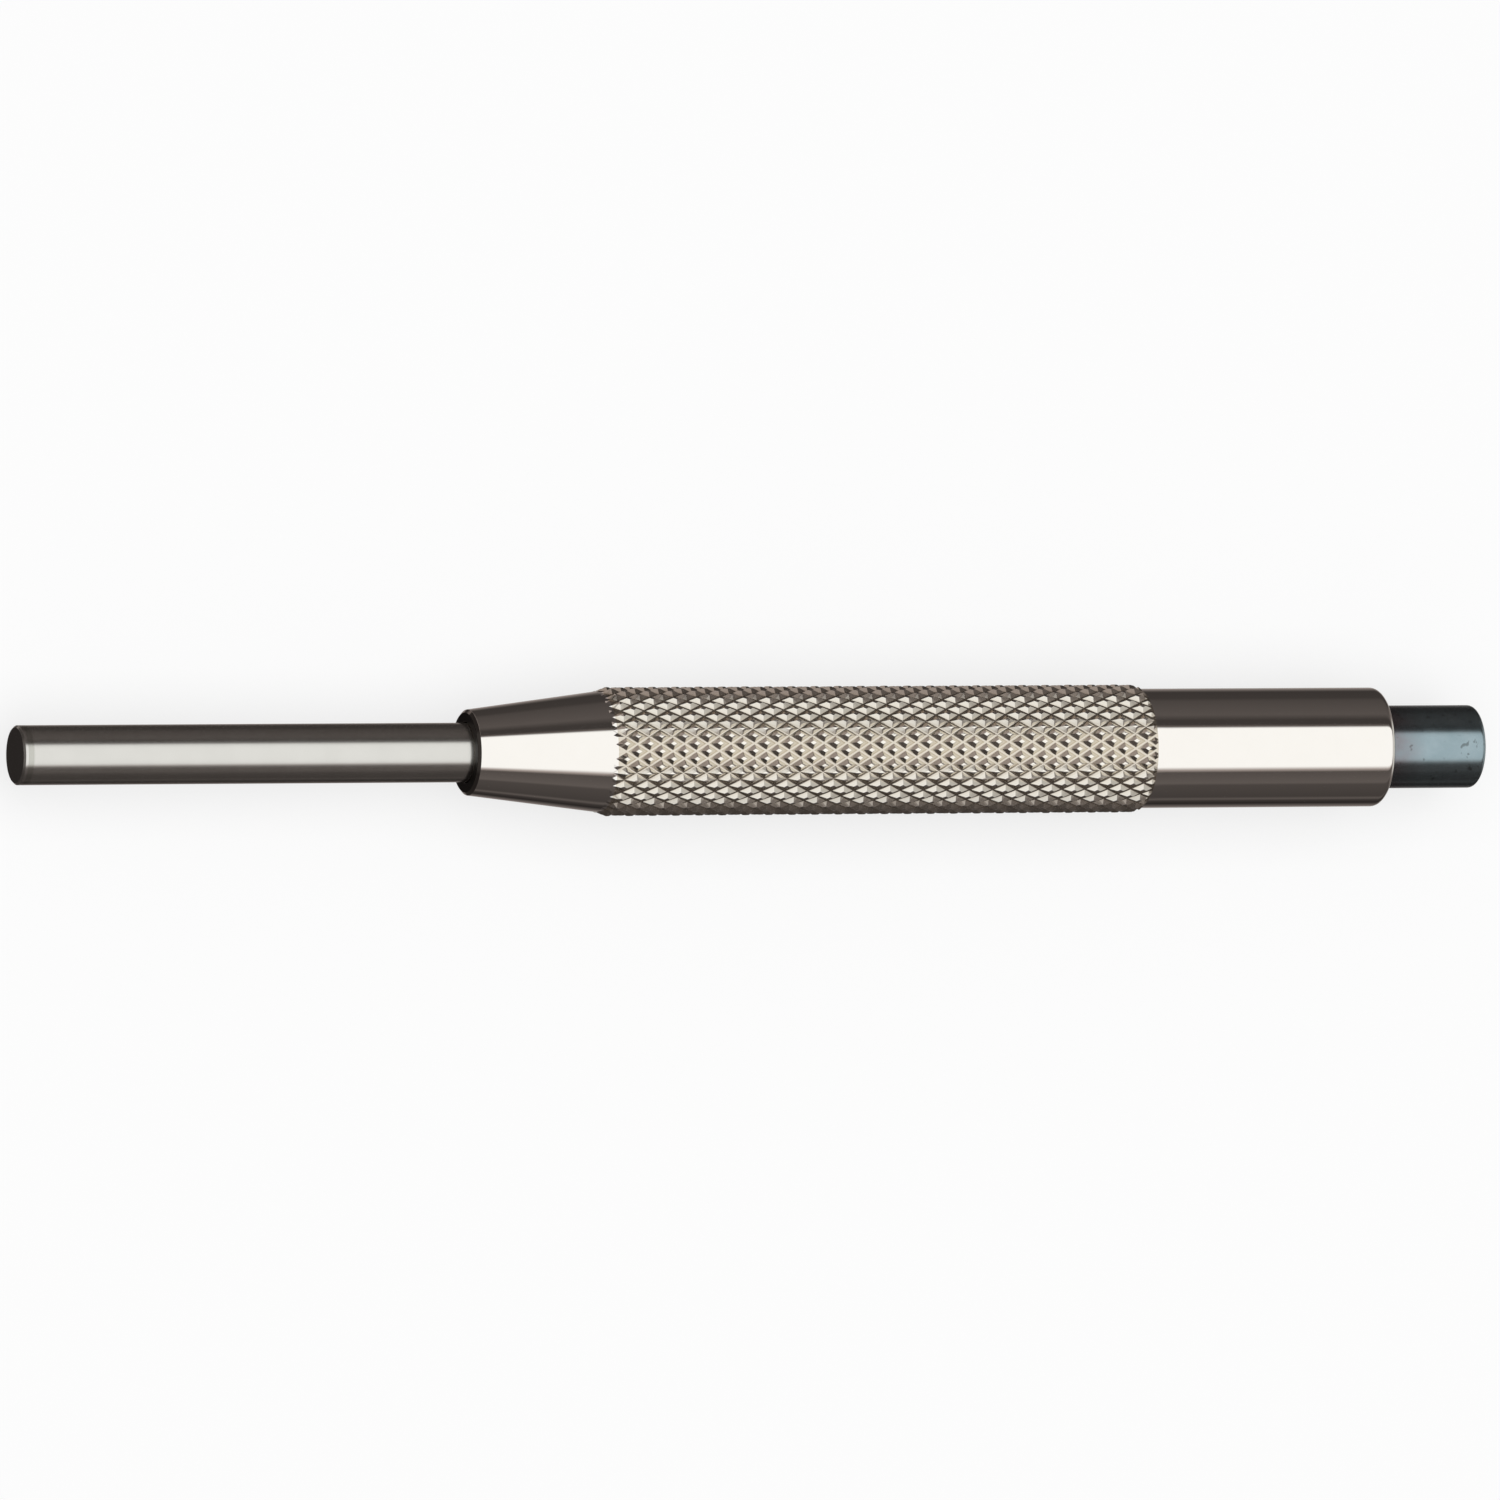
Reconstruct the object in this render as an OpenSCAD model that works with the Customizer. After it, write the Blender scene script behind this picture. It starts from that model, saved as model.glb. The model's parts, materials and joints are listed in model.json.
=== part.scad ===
// Pin punch with a guide sleeve, lying along X with its tip at -X and its head at +X.
// Lengths in millimetres, Z up. The sleeve rests on its knurled grip at Z = 0.

/* [Drive pin] */
// Diameter of the ground pin
pin_d = 3.9; // [3.8:0.1:4.2]
// How far the pin stands out of the nose at rest
pin_out = 31; // [24:0.5:32]
// Width of the small chamfer round the tip
tip_edge = 0.15; // [0.1:0.05:0.3]
// Depth of the striker's socket that holds the pin
socket_l = 10; // [7:0.5:14]

/* [Guide sleeve] */
// Diameter of the nose's front face
nose_d = 5.6; // [5.4:0.1:6]
// Width of the small chamfer round the nose
nose_edge = 0.1; // [0.05:0.05:0.2]
// Length of the tapered nose
cone_l = 9; // [7:0.5:12]
// Diameter of the plain stock
body_d = 7.9; // [7.9:0.1:9]
// Diameter over the crests of the knurled grip
knurl_d = 8.5; // [8.3:0.1:10]
// Length of the knurled grip
knurl_l = 38.2; // [34:0.2:50]
// Length of the plain band behind the grip
band_l = 17; // [15:0.5:24]
// Radius round the sleeve's rear edge
rear_round = 0.4; // [0.2:0.05:0.5]
// Diameter of the chamber that the collar slides in
chamber_d = 6.5; // [6.4:0.1:6.7]

/* [Striker] */
// Diameter of the struck head and its shank
head_d = 5.5; // [5.3:0.1:5.6]
// How far the head stands out of the sleeve at rest
head_out = 6.9; // [5:0.1:12]
// Radius round the struck face
head_round = 0.4; // [0.2:0.05:0.8]
// Length of the striker's collar
collar_l = 8; // [6:0.5:9]
// Radial gap between the collar and the chamber's wall
collar_gap = 0.05; // [0.03:0.01:0.08]
// Width of the small chamfers on the collar
collar_edge = 0.2; // [0.1:0.05:0.3]

/* [Friction ring] */
// Thickness of the rubber ring's section
ring_w = 0.76; // [0.7:0.02:0.8]
// Radial gap between the ring and the chamber's wall
ring_gap = 0.02; // [0.01:0.01:0.03]
// Gap on each side of the ring in its groove
groove_gap = 0.05; // [0.03:0.01:0.1]

/* [End bush] */
// Length of the bush pressed into the rear of the chamber
bush_l = 5; // [4:0.5:8]
// How far the bush sits below the sleeve's rear face
bush_inset = 0.3; // [0.1:0.1:0.6]
// Width of the lead-in chamfer inside the bush's rear end
bush_edge = 0.15; // [0.1:0.05:0.2]

/* [Fits] */
// Radial running gap of the pin in the nose and of the shank in the bush
guide_gap = 0.04; // [0.02:0.01:0.06]
// Radial interference of the pressed pieces
press_grip = 0.01; // [0.01:0.01:0.02]

/* [Hidden] */
$fn = 96;

// Overrun of a cut past the face it starts from
cut_over = 0.5;

sleeve_l = cone_l + knurl_l + band_l;
total_l = pin_out + sleeve_l + head_out;
// The tool rests on the crests of its grip, so its axis lies half their diameter up
axis_z = knurl_d / 2;

// Places along X, from the tip to the struck face
x_tip = -total_l / 2;
x_nose = x_tip + pin_out;
x_grip = x_nose + cone_l;
x_band = x_grip + knurl_l;
x_rear = x_band + band_l;
x_head = x_rear + head_out;

// The pin's stroke brings its tip back level with the nose
stroke = pin_out;
x_bush = x_rear - bush_inset - bush_l;
x_chamber = x_bush - stroke - collar_l;
x_collar_end = x_chamber + collar_l;

knurl_r = knurl_d / 2;
body_r = body_d / 2;
nose_r = nose_d / 2;
pin_r = pin_d / 2;
head_r = head_d / 2;
chamber_r = chamber_d / 2;
collar_r = chamber_r - collar_gap;
knurl_rise = knurl_r - body_r;

// The ring fills the space between the chamber's wall and the root of its groove
ring_outer_r = chamber_r - ring_gap;
ring_mid_r = ring_outer_r - ring_w / 2;
groove_root_r = ring_outer_r - ring_w - ring_gap;
groove_w = ring_w + 2 * groove_gap;
x_ring = x_chamber + collar_l / 2;

// Turns an outline of [radius, X] points round the tool's axis
module turned() {
    translate([0, 0, axis_z]) rotate([0, 90, 0]) rotate_extrude() children();
}

// A round hole or plug on the tool's axis, from X = from to X = to
module on_axis(from, to, r) {
    translate([from, 0, axis_z]) rotate([0, 90, 0]) cylinder(h = to - from, r = r);
}

module guide_sleeve() {
    bore_r = pin_r + guide_gap;
    color("gainsboro") difference() {
        turned() {
            polygon([
                [0, x_nose],
                [nose_r - nose_edge, x_nose],
                [nose_r, x_nose + nose_edge],
                [body_r, x_grip],
                [knurl_r, x_grip + knurl_rise],
                [knurl_r, x_band - knurl_rise],
                [body_r, x_band],
                [body_r, x_rear - rear_round],
                [body_r - rear_round, x_rear],
                [0, x_rear],
            ]);
            translate([body_r - rear_round, x_rear - rear_round]) circle(r = rear_round);
        }
        on_axis(x_nose - cut_over, x_chamber + cut_over, bore_r);
        on_axis(x_chamber, x_rear + cut_over, chamber_r);
    }
}

module end_bush() {
    bush_bore_r = head_r + guide_gap;
    bush_outer_r = chamber_r + press_grip;
    x_end = x_bush + bush_l;
    color("dimgray") turned() polygon([
        [bush_bore_r, x_bush],
        [bush_outer_r, x_bush],
        [bush_outer_r, x_end],
        [bush_bore_r + bush_edge, x_end],
        [bush_bore_r, x_end - bush_edge],
    ]);
}

module striker() {
    color("darkslategray") difference() {
        turned() {
            polygon([
                [0, x_chamber],
                [collar_r - collar_edge, x_chamber],
                [collar_r, x_chamber + collar_edge],
                [collar_r, x_collar_end - collar_edge],
                [collar_r - collar_edge, x_collar_end],
                [head_r, x_collar_end],
                [head_r, x_head - head_round],
                [head_r - head_round, x_head],
                [0, x_head],
            ]);
            translate([head_r - head_round, x_head - head_round]) circle(r = head_round);
        }
        on_axis(x_chamber - cut_over, x_chamber + socket_l, pin_r - press_grip);
        turned() translate([groove_root_r, x_ring - groove_w / 2])
            square([collar_r - groove_root_r + cut_over, groove_w]);
    }
}

module drive_pin() {
    color("silver") turned() polygon([
        [0, x_tip],
        [pin_r - tip_edge, x_tip],
        [pin_r, x_tip + tip_edge],
        [pin_r, x_chamber + socket_l],
        [0, x_chamber + socket_l],
    ]);
}

module friction_ring() {
    color("black") turned() translate([ring_mid_r, x_ring]) circle(r = ring_w / 2);
}

guide_sleeve();
end_bush();
striker();
drive_pin();
friction_ring();
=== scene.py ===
"""Looks of a pin punch with a knurled guide sleeve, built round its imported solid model.

The punch lies along X with its tip at -X, on a pale floor at Z = 0. Lengths are in metres. Each piece is a class that
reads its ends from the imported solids, holds its own turned sizes and builds its mesh. Each finish is a frozen
dataclass that holds its own colours and makes its material.
"""

from __future__ import annotations

import json
import logging
import math
from dataclasses import dataclass, field
from enum import Enum
from functools import cached_property

import bmesh
import bpy
from mathutils import Matrix, Vector, noise

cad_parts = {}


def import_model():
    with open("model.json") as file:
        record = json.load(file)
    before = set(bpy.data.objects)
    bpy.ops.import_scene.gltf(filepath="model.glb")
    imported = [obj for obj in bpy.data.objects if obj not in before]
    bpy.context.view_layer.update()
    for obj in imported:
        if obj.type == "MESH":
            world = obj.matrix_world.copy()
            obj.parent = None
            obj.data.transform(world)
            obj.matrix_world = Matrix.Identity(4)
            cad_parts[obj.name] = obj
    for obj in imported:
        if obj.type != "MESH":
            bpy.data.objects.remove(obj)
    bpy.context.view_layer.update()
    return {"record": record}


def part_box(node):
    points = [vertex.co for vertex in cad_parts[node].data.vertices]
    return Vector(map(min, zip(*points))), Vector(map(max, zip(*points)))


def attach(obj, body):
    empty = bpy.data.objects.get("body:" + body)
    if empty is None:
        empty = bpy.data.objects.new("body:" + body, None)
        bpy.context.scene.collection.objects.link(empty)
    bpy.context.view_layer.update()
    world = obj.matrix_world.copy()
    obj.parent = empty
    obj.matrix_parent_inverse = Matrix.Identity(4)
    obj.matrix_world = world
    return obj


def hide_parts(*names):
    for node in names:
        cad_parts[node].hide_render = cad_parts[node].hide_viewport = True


LOG = logging.getLogger("pin_punch")
MM = 0.001
FULL_TURN = 2 * math.pi
# Vertices closer together than this are one
MERGE_GAP = 0.0008 * MM
# How far past its plane a flat end face is taken to reach
FACE_SLACK = 0.01 * MM
# Faces that meet at more than this keep a sharp edge
SHARP_ANGLE = math.radians(24)

Rgb = tuple[float, float, float]
Outline = list[tuple[float, float]]
Fade = tuple[float, float]
Stops = tuple[tuple[float, float], ...]
BMesh = bmesh.types.BMesh
Object = bpy.types.Object
Material = bpy.types.Material
NodeTree = bpy.types.NodeTree
ShaderNode = bpy.types.Node
Socket = bpy.types.NodeSocket


class Node(Enum):
    """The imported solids, by the part they play."""

    SLEEVE = "guide_sleeve"
    BUSH = "end_bush"
    STRIKER = "striker"
    PIN = "drive_pin"
    RING = "friction_ring"


class Body(Enum):
    """The bodies that the solids move with."""

    SLEEVE = "sleeve"
    RING = "ring"
    PUNCH = "punch"


class Slot(Enum):
    """Names of material slots that each piece holds; nothing in the script reads them, and each piece takes its
    finish from the one paired with it in main.
    """

    NICKEL = "nickel_plate"
    DARK_STEEL = "dark_steel"
    BLUED = "blued_steel"
    GROUND = "ground_steel"
    RUBBER = "ring_rubber"


class Mark(Enum):
    """The kinds of turning marks that a finish can show."""

    RINGS = "Rings"
    STREAKS = "Streaks"
    MOTTLE = "Mottle"


class Ease(Enum):
    """The ways in which a step runs from its low to its high value."""

    STRAIGHT = "LINEAR"
    SMOOTH = "SMOOTHSTEP"


@dataclass(frozen=True)
class Corner:
    """One corner of a turned outline.

    Attributes:
        x: place along the tool's axis.
        r: distance from the axis.
        blend: radius that rounds the corner, or 0 for a sharp one.
    """

    x: float
    r: float
    blend: float = 0.0


@dataclass
class Layout:
    """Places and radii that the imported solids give, shared by every piece.

    Attributes:
        axis_z: height of the tool's axis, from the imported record.
        cone_l: length of the tapered nose in front of the grip.
        band_l: length of the plain band behind the grip.
    """

    axis_z: float
    cone_l: float = 9.0 * MM
    band_l: float = 17.0 * MM
    x_tip: float = field(init=False)
    x_pin_end: float = field(init=False)
    x_nose: float = field(init=False)
    x_grip: float = field(init=False)
    x_band: float = field(init=False)
    x_chamber: float = field(init=False)
    x_rear: float = field(init=False)
    x_head: float = field(init=False)
    x_bush: float = field(init=False)
    x_bush_end: float = field(init=False)
    x_ring: float = field(init=False)
    knurl_r: float = field(init=False)
    pin_r: float = field(init=False)
    collar_r: float = field(init=False)
    bush_r: float = field(init=False)
    ring_r: float = field(init=False)

    def __post_init__(self) -> None:
        """Reads the ends and radii of the solids."""
        boxes = {node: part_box(node.value) for node in Node}
        radius = {node: self.axis_z - low.z for node, (low, _) in boxes.items()}
        self.x_nose, self.x_rear = (corner.x for corner in boxes[Node.SLEEVE])
        self.x_tip, self.x_pin_end = (corner.x for corner in boxes[Node.PIN])
        self.x_chamber, self.x_head = (corner.x for corner in boxes[Node.STRIKER])
        self.x_bush, self.x_bush_end = (corner.x for corner in boxes[Node.BUSH])
        self.x_ring = sum(corner.x for corner in boxes[Node.RING]) / 2
        self.x_grip = self.x_nose + self.cone_l
        self.x_band = self.x_rear - self.band_l
        self.knurl_r = radius[Node.SLEEVE]
        self.pin_r = radius[Node.PIN]
        self.collar_r = radius[Node.STRIKER]
        self.bush_r = radius[Node.BUSH]
        self.ring_r = radius[Node.RING]


def rounded_outline(corners: list[Corner], steps: int = 6, hold_share: float = 0.3) -> Outline:
    """Turns corners into outline points, with an arc and two holding points at each rounded corner.

    Args:
        corners: the outline's corners in order.
        steps: pieces in each arc.
        hold_share: distance of a holding point from its arc, as a share of the arc's blend.

    Returns:
        The outline as (x, r) points.
    """
    points: Outline = []
    for index, corner in enumerate(corners):
        here = Vector((corner.x, corner.r))
        if corner.blend == 0 or index in (0, len(corners) - 1):
            points.append((corner.x, corner.r))
            continue
        before, after = corners[index - 1], corners[index + 1]
        to_before = (Vector((before.x, before.r)) - here).normalized()
        to_after = (Vector((after.x, after.r)) - here).normalized()
        half = to_before.angle(to_after) / 2
        reach = corner.blend / math.tan(half)
        centre = here + (to_before + to_after).normalized() * (corner.blend / math.sin(half))
        start = here + to_before * reach - centre
        turn = start.angle_signed(here + to_after * reach - centre)
        hold = corner.blend * hold_share
        points.append(tuple(here + to_before * (reach + hold)))
        for step in range(steps + 1):
            arm = start.copy()
            arm.rotate(Matrix.Rotation(-turn * step / steps, 2))
            points.append(tuple(centre + arm))
        points.append(tuple(here + to_after * (reach + hold)))
    return points


def spin_outline(bm: BMesh, outline: Outline, axis_z: float, steps: int, closed: bool) -> None:
    """Turns an outline round the tool's axis.

    Args:
        bm: the mesh that takes the surface.
        outline: (x, r) points.
        axis_z: height of the axis.
        steps: facets round the axis.
        closed: whether the last point joins the first.
    """
    verts = [bm.verts.new((x, 0, axis_z + r)) for x, r in outline]
    pairs = list(zip(verts, verts[1:])) + ([(verts[-1], verts[0])] if closed else [])
    edges = [bm.edges.new(pair) for pair in pairs]
    bmesh.ops.spin(
        bm,
        geom=verts + edges,
        cent=(0, 0, axis_z),
        axis=(1, 0, 0),
        dvec=(0, 0, 0),
        angle=FULL_TURN,
        steps=steps,
        use_merge=True,
        use_duplicate=False,
    )
    bmesh.ops.remove_doubles(bm, verts=bm.verts[:], dist=MERGE_GAP)


def add_object(name: str, data: bpy.types.ID) -> Object:
    """Adds an object to the scene.

    Args:
        name: the object's name.
        data: its mesh, camera or lamp.

    Returns:
        The object.
    """
    obj = bpy.data.objects.new(name, data)
    bpy.context.scene.collection.objects.link(obj)
    return obj


def finish_mesh(bm: BMesh, name: str) -> Object:
    """Turns a finished bmesh into an object with smooth, outward faces.

    Args:
        bm: the mesh, which is freed.
        name: the object's name.

    Returns:
        The object, linked to the scene.
    """
    bmesh.ops.recalc_face_normals(bm, faces=bm.faces[:])
    for face in bm.faces:
        face.smooth = True
    mesh = bpy.data.meshes.new(name)
    bm.to_mesh(mesh)
    bm.free()
    return add_object(name, mesh)


def mark_sharp(bm: BMesh) -> None:
    """Marks the edges between faces that meet at more than the sharp angle."""
    for edge in bm.edges:
        edge.smooth = len(edge.link_faces) == 2 and edge.calc_face_angle(0.0) < SHARP_ANGLE


@dataclass
class Shader:
    """A node tree that is wired by short calls.

    Attributes:
        tree: the tree that takes the nodes.
    """

    tree: NodeTree

    def add(self, kind: str, **settings: object) -> ShaderNode:
        """Adds a node.

        Args:
            kind: the node's type name.
            settings: node properties, or input values for names that are not properties.

        Returns:
            The new node.
        """
        node = self.tree.nodes.new(kind)
        for key, value in settings.items():
            if hasattr(node, key):
                setattr(node, key, value)
            else:
                node.inputs[key.replace("_", " ")].default_value = value
        return node

    def link(self, source: Socket, target: Socket) -> None:
        """Joins two sockets."""
        self.tree.links.new(source, target)

    def math(self, operation: str, *values: object, clamp: bool = False) -> Socket:
        """Adds a Math node.

        Args:
            operation: the node's operation.
            values: numbers or sockets, in input order.
            clamp: whether the result is kept from 0 to 1.

        Returns:
            The result's socket.
        """
        node = self.add("ShaderNodeMath", operation=operation, use_clamp=clamp)
        for target, value in zip(node.inputs, values):
            if isinstance(value, Socket):
                self.link(value, target)
            else:
                target.default_value = value
        return node.outputs[0]

    def step(
        self, value: Socket, begin: float, end: float, low: float = 0.0, high: float = 1.0, ease: Ease = Ease.SMOOTH
    ) -> Socket:
        """Adds a step that stays low before it begins and high after it ends.

        Args:
            value: the value that drives the step.
            begin: the value at which it begins.
            end: the value at which it ends.
            low: its lower result.
            high: its higher result.
            ease: how it runs from one to the other.

        Returns:
            The step's socket.
        """
        node = self.add("ShaderNodeMapRange", clamp=True, interpolation_type=ease.value)
        for name, number in (("From Min", begin), ("From Max", end), ("To Min", low), ("To Max", high)):
            node.inputs[name].default_value = number
        self.link(value, node.inputs["Value"])
        return node.outputs["Result"]

    def mix(self, fac: Socket, first: object, second: object) -> Socket:
        """Mixes two colours.

        Args:
            fac: the share of the second colour.
            first: a colour or a socket.
            second: a colour or a socket.

        Returns:
            The colour's socket.
        """
        node = self.add("ShaderNodeMix", data_type="RGBA")
        self.link(fac, node.inputs["Factor"])
        for target, value in ((node.inputs[6], first), (node.inputs[7], second)):
            if isinstance(value, Socket):
                self.link(value, target)
            else:
                target.default_value = (*value, 1.0)
        return node.outputs[2]


def polar_group() -> NodeTree:
    """Builds the group that turns object coordinates into places round the tool's axis.

    Returns:
        A group with the outputs Along and Radius.
    """
    tree = bpy.data.node_groups.new("round_the_axis", "ShaderNodeTree")
    for name, kind in (("Vector", "NodeSocketVector"), ("Axis Height", "NodeSocketFloat")):
        tree.interface.new_socket(name, in_out="INPUT", socket_type=kind)
    for name in ("Along", "Radius"):
        tree.interface.new_socket(name, in_out="OUTPUT", socket_type="NodeSocketFloat")
    shader = Shader(tree)
    given = shader.add("NodeGroupInput")
    result = shader.add("NodeGroupOutput")
    split = shader.add("ShaderNodeSeparateXYZ")
    shader.link(given.outputs["Vector"], split.inputs[0])
    aside = split.outputs["Y"]
    up = shader.math("SUBTRACT", split.outputs["Z"], given.outputs["Axis Height"])
    squares = shader.math("ADD", shader.math("MULTIPLY", aside, aside), shader.math("MULTIPLY", up, up))
    shader.link(split.outputs["X"], result.inputs["Along"])
    shader.link(shader.math("SQRT", squares), result.inputs["Radius"])
    return tree


def lathe_group() -> NodeTree:
    """Builds the group of fine marks that turning, grinding and polishing leave on a rod.

    Returns:
        A group with an output for each kind of mark, from 0 to 1.
    """
    tree = bpy.data.node_groups.new("turning_marks", "ShaderNodeTree")
    tree.interface.new_socket("Vector", in_out="INPUT", socket_type="NodeSocketVector")
    for name in ("Rings per Metre", "Mottle per Metre"):
        tree.interface.new_socket(name, in_out="INPUT", socket_type="NodeSocketFloat")
    for mark in Mark:
        tree.interface.new_socket(mark.value, in_out="OUTPUT", socket_type="NodeSocketFloat")
    shader = Shader(tree)
    given = shader.add("NodeGroupInput")
    result = shader.add("NodeGroupOutput")
    across_share, along_share = 0.06, 0.02
    for mark, stretch in ((Mark.RINGS, (1, across_share, across_share)), (Mark.STREAKS, (along_share, 1, 1))):
        mapping = shader.add("ShaderNodeMapping", Scale=stretch)
        shader.link(given.outputs["Vector"], mapping.inputs["Vector"])
        texture = shader.add("ShaderNodeTexNoise", Detail=4.0, Roughness=0.6)
        shader.link(mapping.outputs["Vector"], texture.inputs["Vector"])
        shader.link(given.outputs["Rings per Metre"], texture.inputs["Scale"])
        shader.link(texture.outputs["Fac"], result.inputs[mark.value])
    mottle = shader.add("ShaderNodeTexNoise", Detail=5.0, Roughness=0.55)
    shader.link(given.outputs["Vector"], mottle.inputs["Vector"])
    shader.link(given.outputs["Mottle per Metre"], mottle.inputs["Scale"])
    shader.link(mottle.outputs["Fac"], result.inputs[Mark.MOTTLE.value])
    return tree


@dataclass
class Workshop:
    """The two node groups that all the finishes share.

    Attributes:
        layout: places of the solids.
    """

    layout: Layout
    polar: NodeTree = field(init=False)
    lathe: NodeTree = field(init=False)

    def __post_init__(self) -> None:
        """Builds the groups."""
        self.polar = polar_group()
        self.lathe = lathe_group()


@dataclass
class Surface(Shader):
    """A material's tree with the coordinates and marks that finishes start from, each added when first used.

    Attributes:
        workshop: the shared node groups.
        rings: turning rings per metre.
        mottle: patches per metre.
    """

    workshop: Workshop
    rings: float
    mottle: float

    @cached_property
    def place(self) -> Socket:
        """Adds the object coordinates."""
        return self.add("ShaderNodeTexCoord").outputs["Object"]

    @cached_property
    def polar(self) -> ShaderNode:
        """Adds the group that gives places round the axis."""
        return self.group(self.workshop.polar, Axis_Height=self.layout.axis_z)

    @cached_property
    def marks(self) -> ShaderNode:
        """Adds the group of turning marks."""
        return self.group(self.workshop.lathe, Rings_per_Metre=self.rings, Mottle_per_Metre=self.mottle)

    @property
    def layout(self) -> Layout:
        """Gives the places of the solids."""
        return self.workshop.layout

    def group(self, tree: NodeTree, **values: float) -> ShaderNode:
        """Adds a shared group, fed with the object coordinates.

        Args:
            tree: the group.
            values: values of its inputs.

        Returns:
            The group's node.
        """
        node = self.add("ShaderNodeGroup", node_tree=tree, **values)
        self.link(self.place, node.inputs["Vector"])
        return node

    def along(self) -> Socket:
        """Gives the place along the tool's axis."""
        return self.polar.outputs["Along"]

    def radius(self) -> Socket:
        """Gives the distance from the tool's axis."""
        return self.polar.outputs["Radius"]

    def mark(self, mark: Mark) -> Socket:
        """Gives one kind of turning mark."""
        return self.marks.outputs[mark.value]


@dataclass(frozen=True)
class Finish:
    """A turned surface, with a base colour in patches and its gloss and relief from turning marks.

    Attributes:
        name: the material's name.
        dark: base colour of the darker patches.
        light: base colour of the lighter patches.
        rings: turning rings per metre.
        mottle: patches per metre.
        rough_mark: the marks that the roughness follows.
        rough_low: the lowest roughness.
        rough_rise: how far the marks raise it.
        relief_mark: the marks that stand in relief.
        relief: depth of the relief.
        metallic: 1 for a metal, 0 for rubber.
    """

    name: str
    dark: Rgb
    light: Rgb
    rings: float
    mottle: float
    rough_mark: Mark
    rough_low: float
    rough_rise: float
    relief_mark: Mark = Mark.RINGS
    relief: float = 0.0
    metallic: float = 1.0

    def material(self, workshop: Workshop) -> Material:
        """Makes the material.

        Args:
            workshop: the shared node groups.

        Returns:
            The material.
        """
        material = bpy.data.materials.new(self.name)
        material.use_nodes = True
        surface = Surface(material.node_tree, workshop, self.rings, self.mottle)
        principled = material.node_tree.nodes["Principled BSDF"]
        principled.inputs["Metallic"].default_value = self.metallic
        patches = surface.mix(surface.mark(Mark.MOTTLE), self.dark, self.light)
        surface.link(self.colour(surface, patches), principled.inputs["Base Color"])
        rough = surface.math("MULTIPLY_ADD", surface.mark(self.rough_mark), self.rough_rise, self.rough_low)
        surface.link(self.roughness(surface, rough), principled.inputs["Roughness"])
        if self.relief:
            bump = surface.add("ShaderNodeBump", Strength=1.0, Distance=self.relief)
            surface.link(surface.mark(self.relief_mark), bump.inputs["Height"])
            surface.link(bump.outputs["Normal"], principled.inputs["Normal"])
        return material

    def colour(self, surface: Surface, patches: Socket) -> Socket:
        """Gives the base colour, here the patches alone."""
        return patches

    def roughness(self, surface: Surface, rough: Socket) -> Socket:
        """Gives the roughness, here that of the marks alone."""
        return rough


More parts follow.
